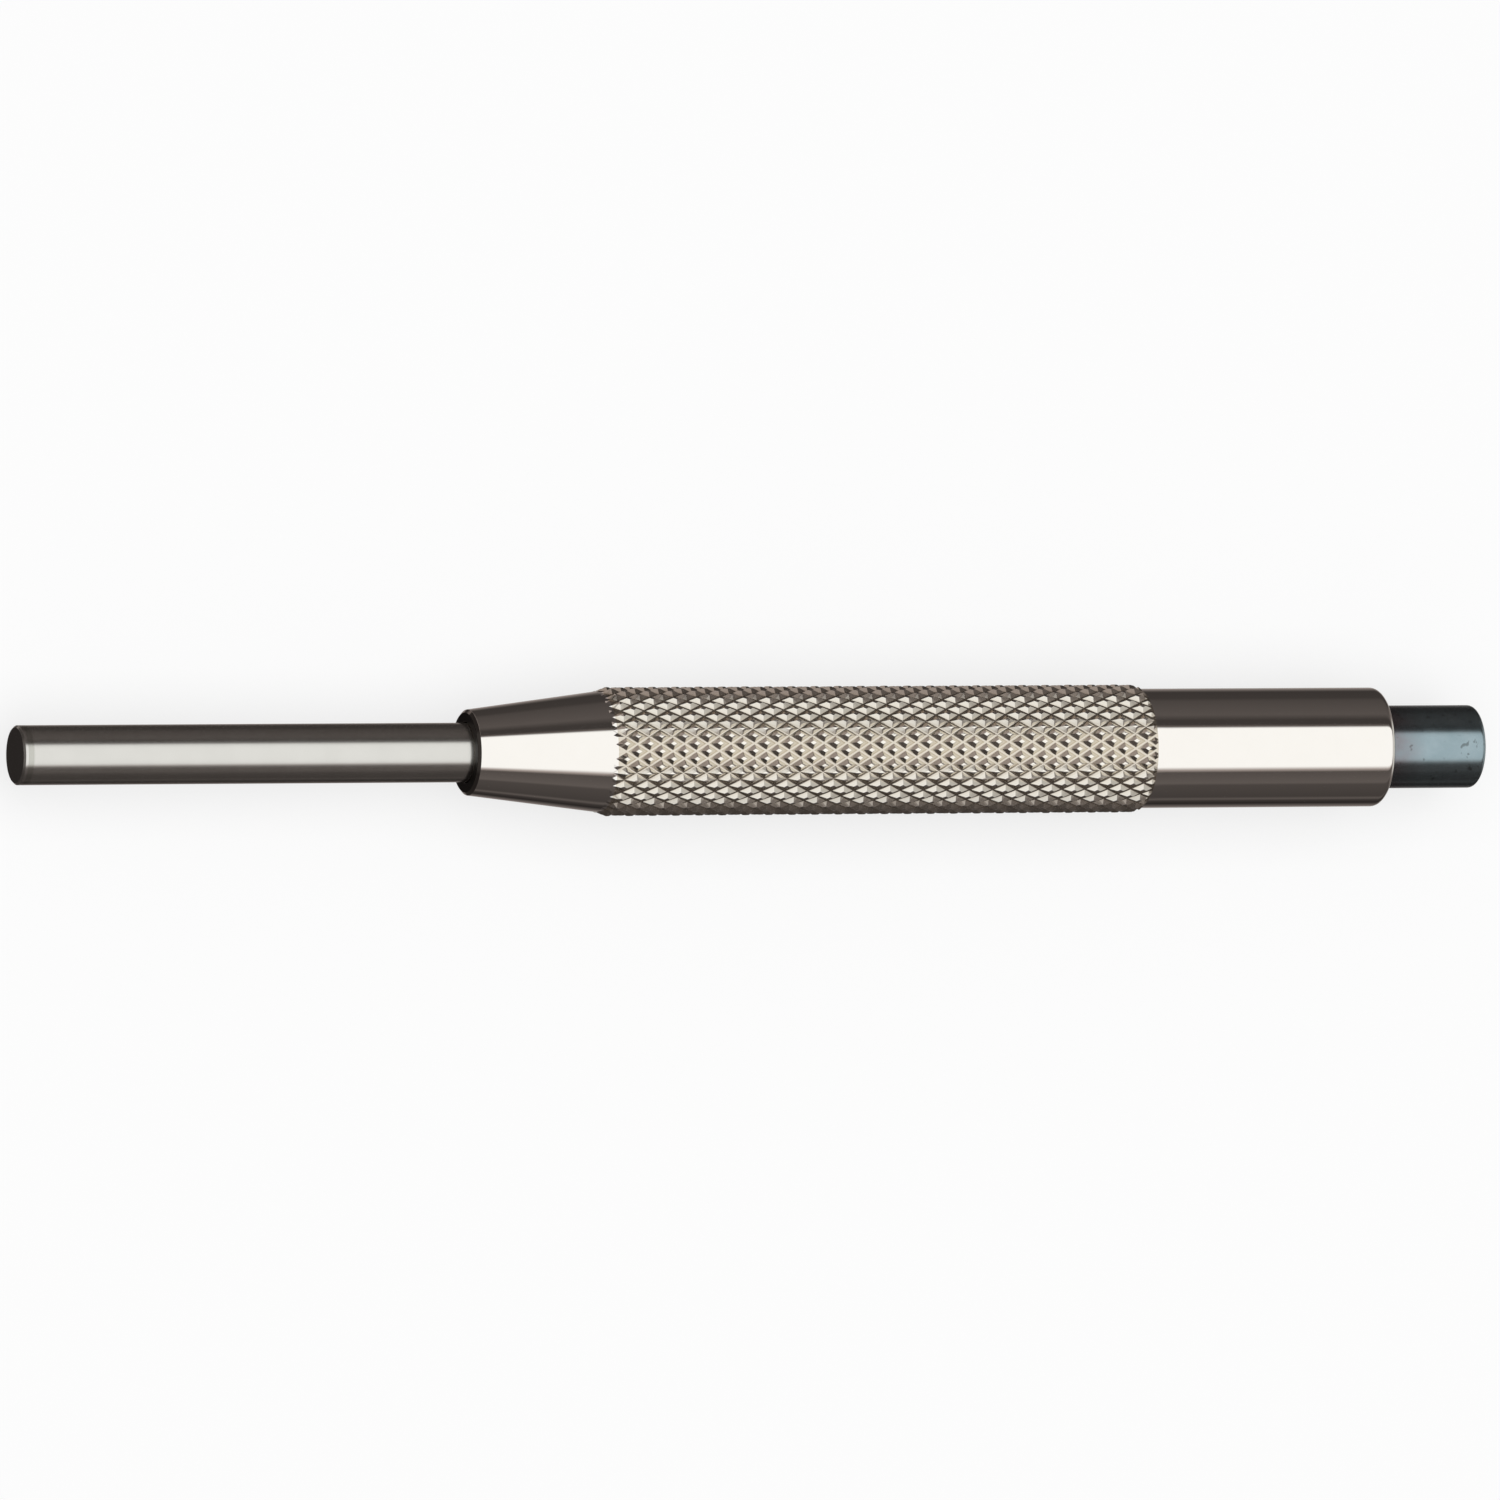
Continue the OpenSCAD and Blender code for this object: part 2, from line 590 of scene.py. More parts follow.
@dataclass(frozen=True)
class NickelPlate(Finish):
    """The sleeve's polished nickel plate, with painted shade that darkens the knurl's grooves and flanks, and painted
    dark reflections on the nose's chamfer and flat face.

    Attributes:
        groove: painted shade at the bottom of the knurl's grooves.
        flank: painted shade on its flanks, lighter than in the grooves.
        crest: colour of its crests.
        nose_chamfer_shade: painted dark reflection on the chamfer round the nose.
        face: painted dark reflection on the nose's flat face.
        groove_depth: depth below the crests at which the grooves' painted shade is full.
        flank_depth: depth below the crests at which the flanks' painted shade is full.
        crest_depth: depth to which the crests' colour reaches.
        groove_rough: roughness of the grooves.
        flank_fall: how much lower the flanks' roughness is.
        face_rough: roughness of the nose's flat face.
        grip_lag: length at the front of the grip that keeps the plain finish.
    """

    name: str = "nickel_plate_polished"
    dark: Rgb = (0.90, 0.872, 0.822)
    light: Rgb = (0.925, 0.897, 0.85)
    rings: float = 9000.0
    mottle: float = 700.0
    rough_mark: Mark = Mark.MOTTLE
    rough_low: float = 0.035
    rough_rise: float = 0.05
    relief: float = 0.0004 * MM
    # Painted shade in the knurl: darker, warmer colours down the flanks and in the grooves than on the crests.
    groove: Rgb = (0.72, 0.66, 0.56)
    flank: Rgb = (0.78, 0.74, 0.66)
    crest: Rgb = (0.92, 0.885, 0.81)
    # Painted dark reflection on the chamfer round the nose.
    nose_chamfer_shade: Rgb = (0.28, 0.26, 0.24)
    # Painted dark reflection on the nose's flat face.
    face: Rgb = (0.03, 0.026, 0.023)
    groove_depth: float = 0.26 * MM
    flank_depth: float = 0.15 * MM
    crest_depth: float = 0.035 * MM
    groove_rough: float = 0.20
    flank_fall: float = 0.06
    face_rough: float = 0.45
    grip_lag: float = 0.30 * MM

    def out_of_groove(self, surface: Surface) -> Socket:
        """Adds a mask that is 0 in the knurl's grooves and 1 on its flanks and crests."""
        crest_r = surface.layout.knurl_r
        return surface.step(
            surface.radius(), crest_r - self.groove_depth, crest_r - self.flank_depth, ease=Ease.STRAIGHT
        )

    def on_grip(self, surface: Surface) -> Socket:
        """Adds a mask that is 1 on the knurled grip and 0 on the rest of the sleeve."""
        after = surface.math("GREATER_THAN", surface.along(), surface.layout.x_grip + self.grip_lag)
        return surface.math("MULTIPLY", after, surface.math("LESS_THAN", surface.along(), surface.layout.x_band))

    def near_nose(self, surface: Surface, length: float) -> Socket:
        """Adds a mask that is 1 up to a length behind the nose's flat face."""
        return surface.math("LESS_THAN", surface.along(), surface.layout.x_nose + length)

    def colour(self, surface: Surface, patches: Socket) -> Socket:
        """Lays the knurl's painted shade, and the painted dark reflections on the nose's chamfer and flat face, over
        the patches.

        Args:
            surface: the material's nodes.
            patches: the patches' colour.

        Returns:
            The base colour's socket.
        """
        # Painted shade: the knurl grows darker and warmer with depth below its crests.
        crests = surface.math("GREATER_THAN", surface.radius(), surface.layout.knurl_r - self.crest_depth)
        flanks = surface.mix(self.out_of_groove(surface), self.groove, self.flank)
        plated = surface.mix(self.on_grip(surface), patches, surface.mix(crests, flanks, self.crest))
        # Painted dark reflection on the chamfer round the nose.
        plated = surface.mix(self.near_nose(surface, Sleeve.nose_edge), plated, self.nose_chamfer_shade)
        # Painted dark reflection on the nose's flat face.
        return surface.mix(self.near_nose(surface, FACE_SLACK), plated, self.face)

    def roughness(self, surface: Surface, rough: Socket) -> Socket:
        """Makes the knurl and the nose's flat face rougher than the polished rest.

        Args:
            surface: the material's nodes.
            rough: the polished roughness.

        Returns:
            The roughness's socket.
        """
        knurled = surface.math("MULTIPLY_ADD", self.out_of_groove(surface), -self.flank_fall, self.groove_rough)
        change = surface.math("SUBTRACT", knurled, rough)
        rough = surface.math("MULTIPLY_ADD", self.on_grip(surface), change, rough)
        face = surface.math("MULTIPLY", self.near_nose(surface, FACE_SLACK), self.face_rough)
        return surface.math("MAXIMUM", rough, face)


@dataclass(frozen=True)
class GroundSteel(Finish):
    """The drive pin's ground steel, with a worn band behind its tip and a painted dark reflection on the tip's flat
    face.

    Attributes:
        worn: colour of the worn band.
        face: painted dark reflection on the tip's flat face.
        worn_share: how much of the worn colour shows.
        worn_begin: distance from the tip at which the band begins.
        worn_fade: distances from the tip between which it fades out.
    """

    name: str = "ground_steel_satin"
    dark: Rgb = (0.66, 0.65, 0.61)
    light: Rgb = (0.74, 0.73, 0.69)
    rings: float = 14000.0
    mottle: float = 450.0
    rough_mark: Mark = Mark.STREAKS
    rough_low: float = 0.20
    rough_rise: float = 0.05
    relief: float = 0.0006 * MM
    worn: Rgb = (0.50, 0.50, 0.45)
    # Painted dark reflection on the tip's flat face.
    face: Rgb = (0.21, 0.20, 0.19)
    worn_share: float = 0.75
    worn_begin: float = 0.31 * MM
    worn_fade: Fade = (0.65 * MM, 0.77 * MM)

    def colour(self, surface: Surface, patches: Socket) -> Socket:
        """Lays the worn band's colour, and the painted dark reflection on the tip's flat face, over the patches.

        Args:
            surface: the material's nodes.
            patches: the patches' colour.

        Returns:
            The base colour's socket.
        """
        x_tip, along = surface.layout.x_tip, surface.along()
        full, gone = self.worn_fade
        band = surface.step(along, x_tip + gone, x_tip + full, high=self.worn_share, ease=Ease.STRAIGHT)
        band = surface.math("MULTIPLY", band, surface.math("GREATER_THAN", along, x_tip + self.worn_begin))
        # Painted dark reflection on the tip's flat face.
        face = surface.math("LESS_THAN", along, x_tip + FACE_SLACK)
        return surface.mix(face, surface.mix(band, patches, self.worn), self.face)


@dataclass(frozen=True)
class BluedSteel(Finish):
    """The striker's blued steel, with small pits from handling, and browner and darker where it leaves the sleeve,
    partly temper colour and partly painted shade and painted reflection of the sleeve.

    Attributes:
        pit: colour of the pits.
        pits: noise features per metre that the pits are cut from.
        pit_cut: noise values between which a pit deepens.
        pit_share: how much of the pits' colour shows.
        temper_and_shade: colour near the sleeve, partly temper colour and partly painted shade and painted reflection
            of the sleeve.
        temper_and_shade_out: distances behind the sleeve between which that colour fades out.
        temper_and_shade_in: distances inside the sleeve between which it fades out.
        temper_and_shade_left: share of that colour that is left inside.
    """

    name: str = "blued_steel_satin"
    dark: Rgb = (0.25, 0.34, 0.37)
    light: Rgb = (0.38, 0.47, 0.505)
    rings: float = 5000.0
    mottle: float = 900.0
    rough_mark: Mark = Mark.MOTTLE
    rough_low: float = 0.18
    rough_rise: float = 0.08
    relief_mark: Mark = Mark.MOTTLE
    relief: float = 0.003 * MM
    pit: Rgb = (0.13, 0.16, 0.165)
    pits: float = 2200.0
    pit_cut: Fade = (0.64, 0.72)
    pit_share: float = 0.75
    # Partly temper colour, partly painted shade and painted reflection of the sleeve where the striker leaves it.
    temper_and_shade: Rgb = (0.20, 0.12, 0.13)
    temper_and_shade_out: Fade = (0.4 * MM, 2.6 * MM)
    temper_and_shade_in: Fade = (1.5 * MM, 9.0 * MM)
    temper_and_shade_left: float = 0.15

    def colour(self, surface: Surface, patches: Socket) -> Socket:
        """Lays the pits, and the browner, darker colour near the sleeve that is partly temper colour and partly
        painted shade and painted reflection of the sleeve, over the patches.

        Args:
            surface: the material's nodes.
            patches: the patches' colour.

        Returns:
            The base colour's socket.
        """
        specks = surface.add("ShaderNodeTexNoise", Scale=self.pits, Detail=2.0)
        surface.link(surface.place, specks.inputs["Vector"])
        pitted = surface.step(specks.outputs["Fac"], *self.pit_cut, high=self.pit_share, ease=Ease.STRAIGHT)
        x_rear, along = surface.layout.x_rear, surface.along()
        full, gone = self.temper_and_shade_out
        behind = surface.step(along, x_rear + gone, x_rear + full, ease=Ease.STRAIGHT)
        full, gone = self.temper_and_shade_in
        inside = surface.step(along, x_rear - gone, x_rear - full, low=self.temper_and_shade_left)
        # Temper colour and painted shade near the sleeve, browner and darker where the striker leaves it.
        temper_and_shade = surface.math("MULTIPLY", surface.math("MULTIPLY", behind, inside), surface.mark(Mark.MOTTLE))
        return surface.mix(temper_and_shade, surface.mix(pitted, patches, self.pit), self.temper_and_shade)


@dataclass(frozen=True)
class TurnedSteel(Finish):
    """The bush's turned steel, lightly oiled."""

    name: str = "turned_steel_oiled"
    dark: Rgb = (0.26, 0.26, 0.27)
    light: Rgb = (0.36, 0.355, 0.35)
    rings: float = 7000.0
    mottle: float = 800.0
    rough_mark: Mark = Mark.RINGS
    rough_low: float = 0.25
    rough_rise: float = 0.15
    relief: float = 0.003 * MM


@dataclass(frozen=True)
class BlackRubber(Finish):
    """The ring's black rubber."""

    name: str = "black_rubber"
    dark: Rgb = (0.018, 0.018, 0.019)
    light: Rgb = (0.034, 0.033, 0.032)
    rings: float = 3000.0
    mottle: float = 2500.0
    rough_mark: Mark = Mark.MOTTLE
    rough_low: float = 0.45
    rough_rise: float = 0.2
    metallic: float = 0.0


@dataclass
class Piece:
    """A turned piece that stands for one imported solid.

    Attributes:
        layout: places of the solids.
        steps: facets round the axis.
    """

    layout: Layout
    steps: int = 192

    node = Node.SLEEVE
    body = Body.SLEEVE
    slot = Slot.NICKEL

    def corners(self) -> list[Corner]:
        """Gives the outline's corners."""
        raise NotImplementedError

    def build(self) -> Object:
        """Turns the outline into an object.

        Returns:
            The piece's object.
        """
        bm = bmesh.new()
        spin_outline(bm, rounded_outline(self.corners()), self.layout.axis_z, self.steps, closed=False)
        mark_sharp(bm)
        return finish_mesh(bm, f"{self.node.value}_turned")

    def place(self, obj: Object, material: Material) -> None:
        """Dresses the object and ties it to its body and solid.

        Args:
            obj: the piece's object.
            material: its finish.
        """
        obj.data.materials.append(material)
        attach(obj, self.body.value)
        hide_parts(self.node.value)
        LOG.info("%s: %d faces", obj.name, len(obj.data.polygons))


@dataclass
class Knurl:
    """The diamond knurl of the grip: raised pyramids between two families of crossing spiral grooves.

    Attributes:
        crest_r: radius over the crests.
        base_r: radius of the plain stock that the knurl fades into.
        begin: its first place along the axis.
        end: its last place along the axis.
        axis_z: height of the axis.
        starts: grooves of each family round the grip.
        rows: half diamonds along the grip.
        depth: depth of the grooves.
        front_ramp: length of the fade at the nose's end.
        rear_ramp: length of the fade at the band's end.
        lines: places of a tile's grid lines across it, as shares of its width.
        heights: height of the flanks at each of those lines, as shares of the depth.
        unevenness: how far a crest may miss its height.
        patches: patches of uneven height per metre.
    """

    crest_r: float
    base_r: float
    begin: float
    end: float
    axis_z: float
    starts: int = 26
    rows: int = 47
    depth: float = 0.25 * MM
    front_ramp: float = 0.8 * MM
    rear_ramp: float = 0.3 * MM
    lines: tuple[float, ...] = (0.0, 0.075, 0.375, 0.5, 0.625, 0.925, 1.0)
    heights: tuple[float, ...] = (0.0, 0.03, 0.95, 1.0, 0.95, 0.03, 0.0)
    unevenness: float = 0.012 * MM
    patches: float = 900.0

    @property
    def half_length(self) -> float:
        """Gives half a diamond's length along the axis."""
        return (self.end - self.begin) / self.rows

    @property
    def half_angle(self) -> float:
        """Gives half a diamond's width round the axis."""
        return math.pi / self.starts

    def build(self, bm: BMesh) -> None:
        """Builds the knurled tube.

        Args:
            bm: an empty mesh that takes the tube.
        """
        self.tile(bm)
        bmesh.ops.spin(
            bm,
            geom=bm.verts[:] + bm.edges[:] + bm.faces[:],
            cent=(0, 0, self.axis_z),
            axis=(1, 0, 0),
            dvec=(0, 0, 0),
            angle=FULL_TURN * (self.starts - 1) / self.starts,
            steps=self.starts - 1,
            use_merge=False,
            use_duplicate=True,
        )
        ring = bm.verts[:] + bm.edges[:] + bm.faces[:]
        for row in range(1, self.rows + 1):
            copy = bmesh.ops.duplicate(bm, geom=ring)["geom"]
            verts = [item for item in copy if isinstance(item, bmesh.types.BMVert)]
            shift = Matrix.Translation((row * self.half_length, 0, self.axis_z))
            turn = Matrix.Rotation(self.half_angle * (row % 2), 4, "X")
            bmesh.ops.transform(bm, matrix=shift @ turn @ Matrix.Translation((0, 0, -self.axis_z)), verts=verts)
        bmesh.ops.remove_doubles(bm, verts=bm.verts[:], dist=MERGE_GAP)
        self.trim(bm)
        self.fade(bm)

    def tile(self, bm: BMesh) -> None:
        """Builds one diamond, centred at the top of the tube's front end.

        Args:
            bm: the mesh that takes it.
        """
        cells = len(self.lines) - 1
        bmesh.ops.create_grid(bm, x_segments=cells, y_segments=cells, size=0.5)
        for vert in bm.verts:
            column = round((vert.co.x + 0.5) * cells)
            line = round((vert.co.y + 0.5) * cells)
            u, v = self.lines[column], self.lines[line]
            height = min(self.heights[column], self.heights[line])
            r = self.crest_r - self.depth * (1 - height)
            angle = (u - v) * self.half_angle
            along = self.begin + (u + v - 1) * self.half_length
            vert.co = (along, r * math.sin(angle), self.axis_z + r * math.cos(angle))
        self.split_ridges(bm)

    def split_ridges(self, bm: BMesh) -> None:
        """Cuts the tile's cells along its ridges, so that each flank stays flat.

        Args:
            bm: the tile.
        """
        for face in bm.faces[:]:
            along = [vert for vert in face.verts if abs(vert.co.y) < MERGE_GAP]
            across = [vert for vert in face.verts if abs(vert.co.x - self.begin) < MERGE_GAP]
            for pair in (along, across):
                if len(pair) == 2 and not bm.edges.get(pair):
                    bmesh.utils.face_split(face, *pair)
                    break

    def trim(self, bm: BMesh) -> None:
        """Cuts the tube off square at its ends and cuts rings where its fades start.

        Args:
            bm: the tube.
        """
        fade_ends = ((self.begin + self.front_ramp, 1, False), (self.end - self.rear_ramp, 1, False))
        for x, side, clear in ((self.begin, -1, True), (self.end, 1, True), *fade_ends):
            bmesh.ops.bisect_plane(
                bm,
                geom=bm.verts[:] + bm.edges[:] + bm.faces[:],
                dist=MERGE_GAP,
                plane_co=(x, 0, 0),
                plane_no=(side, 0, 0),
                clear_outer=clear,
                clear_inner=False,
            )

    def fade(self, bm: BMesh) -> None:
        """Lowers the knurl into the plain stock at its ends, and makes its crests a little uneven.

        Args:
            bm: the tube.
        """
        for vert in bm.verts:
            out = Vector((0, vert.co.y, vert.co.z - self.axis_z))
            r = out.length
            miss = noise.noise(vert.co * self.patches) * self.unevenness
            share = min((vert.co.x - self.begin) / self.front_ramp, (self.end - vert.co.x) / self.rear_ramp)
            share = min(1.0, max(0.0, share))
            wanted = self.base_r + (min(r + miss, self.crest_r) - self.base_r) * share
            vert.co += out * (wanted / r - 1)


@dataclass
class Sleeve(Piece):
    """The knurled guide sleeve, turned from one rod and nickel plated.

    Attributes:
        nose_r: radius of the nose's front face.
        body_r: radius of the plain stock.
        bore_r: radius of the bore that guides the pin.
        chamber_r: radius of the chamber behind it.
        nose_edge: width of the chamfer round the nose.
        cone_blend: rounding between that chamfer and the taper.
        face_blend: rounding between that chamfer and the front face.
        rear_round: rounding of the rear edge.
        mouth: rounding of the bores' edges.
        ease: distance from the knurl at which the plain stock has its last ring.
        join: length of the strip that joins the knurl to the plain stock.
        crest_gap: how far the crests stay inside the solid's box.
        skin: depth of the layer below the crests that the knurl's facets lie in.
    """

    nose_r: float = 2.8 * MM
    body_r: float = 3.95 * MM
    bore_r: float = 1.99 * MM
    chamber_r: float = 3.25 * MM
    nose_edge: float = 0.19 * MM
    cone_blend: float = 0.03 * MM
    face_blend: float = 0.02 * MM
    rear_round: float = 0.48 * MM
    mouth: float = 0.08 * MM
    ease: float = 0.6 * MM
    join: float = 0.02 * MM
    crest_gap: float = 0.007 * MM
    skin: float = 1.0 * MM

    node = Node.SLEEVE
    body = Body.SLEEVE
    slot = Slot.NICKEL

    def corners(self) -> list[Corner]:
        """Gives the open outline's corners, from the front of the grip round the bores to its rear.

        Returns:
            The corners in order.
        """
        at = self.layout
        slope = (self.body_r - self.nose_r) / at.cone_l
        return [
            Corner(at.x_grip - self.join, self.body_r - self.join * slope),
            Corner(at.x_grip - self.ease, self.body_r - self.ease * slope),
            Corner(at.x_nose + self.nose_edge, self.nose_r + self.nose_edge * slope, self.cone_blend),
            Corner(at.x_nose, self.nose_r - self.nose_edge, self.face_blend),
            Corner(at.x_nose, self.bore_r, self.mouth),
            Corner(at.x_chamber, self.bore_r),
            Corner(at.x_chamber, self.chamber_r),
            Corner(at.x_rear, self.chamber_r, self.mouth),
            Corner(at.x_rear, self.body_r, self.rear_round),
            Corner(at.x_band + self.ease, self.body_r),
            Corner(at.x_band + self.join, self.body_r),
        ]

    def build(self) -> Object:
        """Joins the knurled grip to the plain turned rest of the sleeve.

        Returns:
            The sleeve's object.
        """
        bm = bmesh.new()
        at = self.layout
        Knurl(at.knurl_r - self.crest_gap, self.body_r, at.x_grip, at.x_band, at.axis_z).build(bm)
        LOG.info("knurl: %d faces", len(bm.faces))
        spin_outline(bm, rounded_outline(self.corners()), at.axis_z, self.steps, closed=False)
        for x in (at.x_grip, at.x_band):
            rims = [edge for edge in bm.edges if edge.is_boundary and abs(edge.verts[0].co.x - x) < 2 * self.join]
            bmesh.ops.bridge_loops(bm, edges=rims)
        mark_sharp(bm)
        self.sharpen_grip(bm)
        LOG.info("sleeve: open edges left %d", sum(edge.is_boundary for edge in bm.edges))
        return finish_mesh(bm, "guide_sleeve_turned")

    def sharpen_grip(self, bm: BMesh) -> None:
        """Marks every edge between two knurl facets as sharp, so that the flanks stay flat.

        Args:
            bm: the sleeve.
        """
        at = self.layout
        for edge in bm.edges:
            middle = (edge.verts[0].co + edge.verts[1].co) / 2
            in_skin = math.hypot(middle.y, middle.z - at.axis_z) > at.knurl_r - self.skin
            if at.x_grip + MERGE_GAP < middle.x < at.x_band - MERGE_GAP and in_skin:
                edge.smooth = False


@dataclass
class DrivePin(Piece):
    """The ground drive pin.

    Attributes:
        tip_edge: width of the chamfer round the tip's flat face.
        tip_blend: rounding of that chamfer's two edges.
    """

    tip_edge: float = 0.14 * MM
    tip_blend: float = 0.015 * MM

    node = Node.PIN
    body = Body.PUNCH
    slot = Slot.GROUND

    def corners(self) -> list[Corner]:
        """Gives the outline from the tip's centre to the end's centre.

        Returns:
            The corners in order.
        """
        at = self.layout
        return [
            Corner(at.x_tip, 0),
            Corner(at.x_tip, at.pin_r - self.tip_edge, self.tip_blend),
            Corner(at.x_tip + self.tip_edge, at.pin_r, self.tip_blend),
            Corner(at.x_pin_end, at.pin_r),
            Corner(at.x_pin_end, 0),
        ]


@dataclass
class Striker(Piece):
    """The blued striker: collar, shank and struck head.

    Attributes:
        head_r: radius of the shank and head.
        collar_l: length of the collar.
        groove_w: width of the ring's groove.
        groove_r: radius of the groove's root.
        edge: rounding of the collar's edges.
        head_round: rounding round the struck face.
    """

    head_r: float = 2.75 * MM
    collar_l: float = 8.0 * MM
    groove_w: float = 0.86 * MM
    groove_r: float = 2.45 * MM
    edge: float = 0.15 * MM
    head_round: float = 0.4 * MM

    node = Node.STRIKER
    body = Body.PUNCH
    slot = Slot.BLUED

    def corners(self) -> list[Corner]:
        """Gives the outline from the pin's socket to the struck face's centre.

        Returns:
            The corners in order.
        """
        at = self.layout
        collar_end = at.x_chamber + self.collar_l
        front, back = at.x_ring - self.groove_w / 2, at.x_ring + self.groove_w / 2
        return [
            Corner(at.x_pin_end, 0),
            Corner(at.x_pin_end, at.pin_r),
            Corner(at.x_chamber, at.pin_r),
            Corner(at.x_chamber, at.collar_r, self.edge),
            Corner(front, at.collar_r),
            Corner(front, self.groove_r),
            Corner(back, self.groove_r),
            Corner(back, at.collar_r),
            Corner(collar_end, at.collar_r, self.edge),
            Corner(collar_end, self.head_r),
            Corner(at.x_head, self.head_r, self.head_round),
            Corner(at.x_head, 0),
        ]


@dataclass
class EndBush(Piece):
    """The bush pressed into the sleeve's rear.

    Attributes:
        bore_r: radius of its bore.
        edge: rounding of its edges.
        front_gap: room between its front face and the collar at the end of the stroke.
    """

    bore_r: float = 2.79 * MM
    edge: float = 0.1 * MM
    front_gap: float = 0.02 * MM

    node = Node.BUSH
    body = Body.SLEEVE
    slot = Slot.DARK_STEEL

    def corners(self) -> list[Corner]:
        """Gives the outline of its wall, from the middle of its bore round to the same place.

        Returns:
            The corners in order.
        """
        at = self.layout
        front = at.x_bush + self.front_gap
        middle = (front + at.x_bush_end) / 2
        return [
            Corner(middle, self.bore_r),
            Corner(front, self.bore_r, self.edge),
            Corner(front, at.bush_r, self.edge),
            Corner(at.x_bush_end, at.bush_r, self.edge),
            Corner(at.x_bush_end, self.bore_r, self.edge),
            Corner(middle, self.bore_r),
        ]


@dataclass
class FrictionRing(Piece):
    """The rubber ring in the collar's groove.

    Attributes:
        section_r: radius of its section.
        section_steps: facets round the section.
    """

    section_r: float = 0.38 * MM
    section_steps: int = 24

    node = Node.RING
    body = Body.RING
    slot = Slot.RUBBER

    def build(self) -> Object:
        """Spins the ring's round section.

        Returns:
            The ring's object.
        """
        at = self.layout
        middle = at.ring_r - self.section_r
        turns = [FULL_TURN * step / self.section_steps for step in range(self.section_steps)]
        outline = [
            (at.x_ring + self.section_r * math.cos(turn), middle + self.section_r * math.sin(turn)) for turn in turns
        ]
        bm = bmesh.new()
        spin_outline(bm, outline, at.axis_z, self.steps, closed=True)
        return finish_mesh(bm, "friction_ring_moulded")


